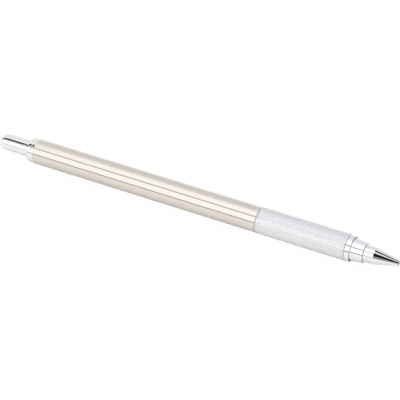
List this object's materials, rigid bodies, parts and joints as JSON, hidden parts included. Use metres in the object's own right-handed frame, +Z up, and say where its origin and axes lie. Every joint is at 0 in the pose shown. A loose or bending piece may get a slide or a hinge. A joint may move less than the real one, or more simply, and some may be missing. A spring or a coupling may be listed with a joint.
{
  "type": "engraving scribe pen",
  "caption": "Push-button clutch scribe: chrome cap and collar, brushed steel barrel, knurled grip, stepped nose with cone tip, and a carbide needle that slides out to scratch or engrave.",
  "frame": {"origin": "on the surface that the pen lies on, straight below the middle of its length", "axes": "+X along the pen towards the needle end, +Z up, +Y to the left when looking along +X"},
  "size_m": [0.1398, 0.0084, 0.0083],
  "materials": {
    "polished_chrome": "bright chrome plate on turned brass",
    "brushed_steel": "warm stainless steel tube, brushed round its axis",
    "satin_aluminium": "satin; the grip is diamond knurled and has a polished front ring",
    "brass": "turned",
    "spring_steel": "drawn and ground",
    "carbide": "ground tungsten carbide",
    "white_acetal": "moulded",
    "black_rubber": "moulded"
  },
  "bodies": {
    "barrel": {"rear_collar": "polished_chrome", "tube_guide": "white_acetal", "barrel_tube": "brushed_steel", "front_union": "brass", "joint_ring": "satin_aluminium", "grip_sleeve": "satin_aluminium", "nose_holder": "polished_chrome", "nose_tip": "polished_chrome", "needle_bush": "black_rubber", "clutch_sleeve": "brass", "return_spring": "spring_steel"},
    "push_train": {"reservoir_tube": "brass", "reservoir_plug": "black_rubber", "tube_coupler": "white_acetal", "collet": "brass"},
    "cap": {"push_cap": "polished_chrome", "cap_liner": "white_acetal"},
    "ring": {"clutch_ring": "brass"},
    "needle": {"needle_shank": "spring_steel", "carbide_point": "carbide"}
  },
  "joints": [
    {"name": "button_press", "type": "slide", "parent": "barrel", "child": "push_train", "axis": [1, 0, 0], "range_m": [0, 0.003], "stiffness_N_per_m": 700, "springref_m": -0.003, "deforming": ["return_spring"]},
    {"name": "ring_follow", "type": "slide", "parent": "barrel", "child": "ring", "axis": [1, 0, 0], "range_m": [0, 0.0015]},
    {"name": "needle_feed", "type": "slide", "parent": "push_train", "child": "needle", "axis": [1, 0, 0], "range_m": [0, 0.006]},
    {"name": "cap_pull", "type": "slide", "parent": "push_train", "child": "cap", "axis": [-1, 0, 0], "range_m": [0, 0.012]}
  ],
  "couplings": [
    {"joint": "ring_follow", "follows": "button_press", "ratio": 0.5}
  ]
}
